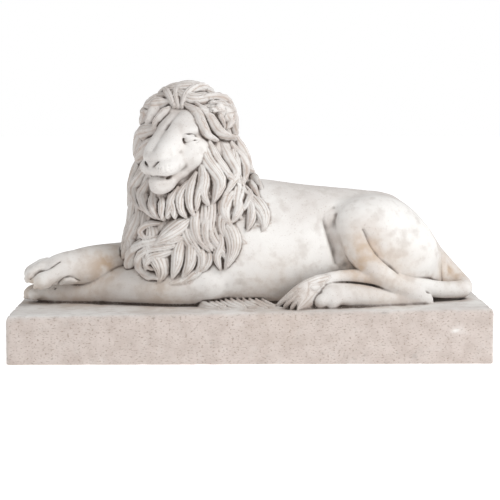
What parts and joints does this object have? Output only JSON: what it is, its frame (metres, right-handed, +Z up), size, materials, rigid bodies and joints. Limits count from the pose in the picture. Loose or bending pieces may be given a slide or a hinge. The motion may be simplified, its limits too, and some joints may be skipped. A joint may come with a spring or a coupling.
{
  "type": "lion statue",
  "caption": "Carved-stone style garden lion lying on a plinth cast in one with it, forepaws crossed, head turned to its left, tail laid along its flank.",
  "frame": {"origin": "middle of the plinth's underside", "axes": "+X along the plinth towards the tail, +Y across it away from the side the lion looks to, +Z up"},
  "size_m": [1.05, 0.4, 0.6125],
  "materials": {
    "cast_stone": "matt, weathered off-white cast stone with grime in the hollows"
  },
  "bodies": {
    "root": {"lion_with_plinth": "cast_stone"}
  },
  "joints": []
}
